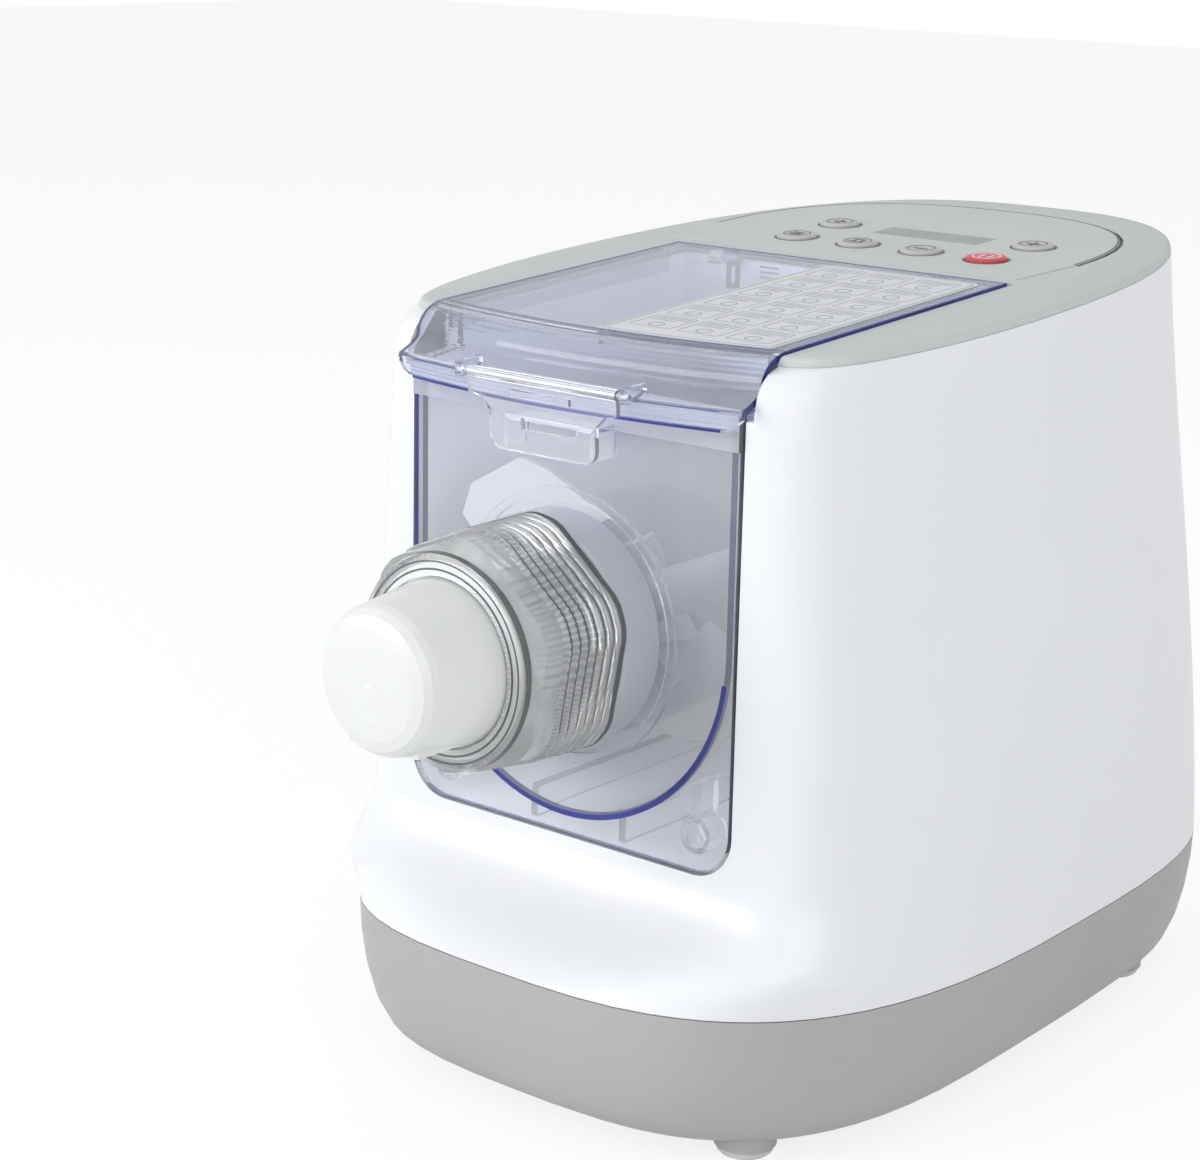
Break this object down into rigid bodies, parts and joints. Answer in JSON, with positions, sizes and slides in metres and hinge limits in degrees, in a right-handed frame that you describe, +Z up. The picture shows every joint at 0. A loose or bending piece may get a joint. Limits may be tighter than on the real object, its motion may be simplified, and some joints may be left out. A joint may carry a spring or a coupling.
{
  "type": "electric pasta maker",
  "caption": "Countertop electric pasta maker: a slide-in clear mixing tub with stirring paddle, auger, screw-on outlet head and sloping control top.",
  "frame": {"origin": "on the table under the middle of the bounding box", "axes": "+X to the right seen from the front, -Y the front with the outlet head, +Z up"},
  "size_m": [0.238, 0.415, 0.2943],
  "materials": {
    "white_plastic": "smooth moulded, slight gloss",
    "base_grey": "fine moulded texture",
    "top_grey": "fine moulded texture",
    "panel_grey": "satin film",
    "button_grey": "satin",
    "button_red": "satin, coral red",
    "display_lens": "glossy lens",
    "clear_plastic": "clear, glossy, faint violet edges",
    "milky_plastic": "milky white, soft gloss",
    "rubber_grey": "matte",
    "rubber_dark": "matte",
    "dark_plastic": "matte",
    "board_green": "lacquered board",
    "steel": "machined",
    "motor_steel": "zinc plated sheet",
    "brass": "machined",
    "gear_plastic": "natural nylon",
    "housing_plastic": "moulded"
  },
  "bodies": {
    "base": {"body_shell": "white_plastic", "base_tray": "base_grey", "foot_pads": "rubber_grey", "top_panel": "top_grey", "control_overlay": "panel_grey", "display_window": "display_lens", "display_module": "dark_plastic", "control_board": "board_green", "tact_switches": "dark_plastic", "cavity_liner": "white_plastic", "base_screws": "steel", "power_board": "board_green", "cord_gland": "dark_plastic", "interlock_switch": "dark_plastic", "gearbox_housing": "housing_plastic", "gearbox_cover": "housing_plastic", "gearbox_screws": "steel", "front_bearing": "steel", "rear_bearing": "steel", "shaft_seal": "rubber_dark", "mid_axle": "steel", "motor_can": "motor_steel", "motor_front_bush": "brass", "motor_rear_cap": "dark_plastic", "motor_cradle": "housing_plastic"},
    "rotor": {"motor_rotor": "steel", "motor_pinion": "brass", "cooling_fan": "dark_plastic"},
    "idler": {"intermediate_gear": "gear_plastic"},
    "drive": {"drive_shaft": "steel", "output_gear": "gear_plastic"},
    "tub": {"mixing_tub": "clear_plastic", "front_plate": "clear_plastic", "extrusion_barrel": "clear_plastic", "tub_bush": "milky_plastic", "lid_pins": "steel"},
    "stirrer": {"stirring_paddle": "milky_plastic", "auger_screw": "milky_plastic"},
    "head": {"outlet_head": "milky_plastic", "shaping_die": "milky_plastic", "head_seal": "rubber_grey"},
    "nut": {"clamp_nut": "clear_plastic"},
    "lid": {"lid": "clear_plastic", "latch_pin": "steel"},
    "latch": {"lid_latch": "clear_plastic"},
    "button_menu": {"button_menu": "button_grey"},
    "button_weight": {"button_weight": "button_grey"},
    "button_minus": {"button_minus": "button_grey"},
    "button_start": {"button_start": "button_red"},
    "button_mix": {"button_mix": "button_grey"},
    "button_plus": {"button_plus": "button_grey"}
  },
  "joints": [
    {"name": "rotor_spin", "type": "hinge", "parent": "base", "child": "rotor", "pos_m": [0, 0.1295, 0.12114], "axis": [0, 1, 0], "continuous": true},
    {"name": "idler_spin", "type": "hinge", "parent": "base", "child": "idler", "pos_m": [-0.03001, 0.0695, 0.12892], "axis": [0, 1, 0], "continuous": true},
    {"name": "drive_spin", "type": "hinge", "parent": "base", "child": "drive", "pos_m": [0, 0.0695, 0.1765], "axis": [0, 1, 0], "continuous": true},
    {"name": "tub_slide", "type": "slide", "parent": "base", "child": "tub", "axis": [0, -1, 0], "range_m": [0, 0.19]},
    {"name": "stirrer_spin", "type": "hinge", "parent": "tub", "child": "stirrer", "pos_m": [0, -0.0305, 0.1765], "axis": [0, 1, 0], "continuous": true},
    {"name": "nut_turn", "type": "hinge", "parent": "head", "child": "nut", "pos_m": [0, -0.1505, 0.1765], "axis": [0, -1, 0], "range_deg": [0, 720]},
    {"name": "head_slide", "type": "slide", "parent": "tub", "child": "head", "axis": [0, -1, 0], "range_m": [0, 0.0121]},
    {"name": "lid_hinge", "type": "hinge", "parent": "tub", "child": "lid", "pos_m": [0, 0.04178, 0.28093], "axis": [-1, 0, 0], "range_deg": [0, 75]},
    {"name": "latch_pull", "type": "hinge", "parent": "lid", "child": "latch", "pos_m": [0, -0.12529, 0.26209], "axis": [-1, 0, 0], "range_deg": [0, 35], "stiffness_Nm_per_rad": 0.05},
    {"name": "button_menu_press", "type": "slide", "parent": "base", "child": "button_menu", "axis": [0, 0.0599, -0.9982], "range_m": [0, 0.001], "stiffness_N_per_m": 1000},
    {"name": "button_weight_press", "type": "slide", "parent": "base", "child": "button_weight", "axis": [0, 0.0599, -0.9982], "range_m": [0, 0.001], "stiffness_N_per_m": 1000},
    {"name": "button_minus_press", "type": "slide", "parent": "base", "child": "button_minus", "axis": [0, 0.0599, -0.9982], "range_m": [0, 0.001], "stiffness_N_per_m": 1000},
    {"name": "button_start_press", "type": "slide", "parent": "base", "child": "button_start", "axis": [0, 0.0599, -0.9982], "range_m": [0, 0.001], "stiffness_N_per_m": 1000},
    {"name": "button_mix_press", "type": "slide", "parent": "base", "child": "button_mix", "axis": [0, 0.0599, -0.9982], "range_m": [0, 0.001], "stiffness_N_per_m": 1000},
    {"name": "button_plus_press", "type": "slide", "parent": "base", "child": "button_plus", "axis": [0, 0.0599, -0.9982], "range_m": [0, 0.001], "stiffness_N_per_m": 1000}
  ],
  "couplings": [
    {"joint": "idler_spin", "follows": "rotor_spin", "ratio": -0.24},
    {"joint": "drive_spin", "follows": "rotor_spin", "ratio": 0.06},
    {"joint": "stirrer_spin", "follows": "rotor_spin", "ratio": 0.06},
    {"joint": "head_slide", "follows": "nut_turn", "m_per_rad": 0.000954}
  ]
}
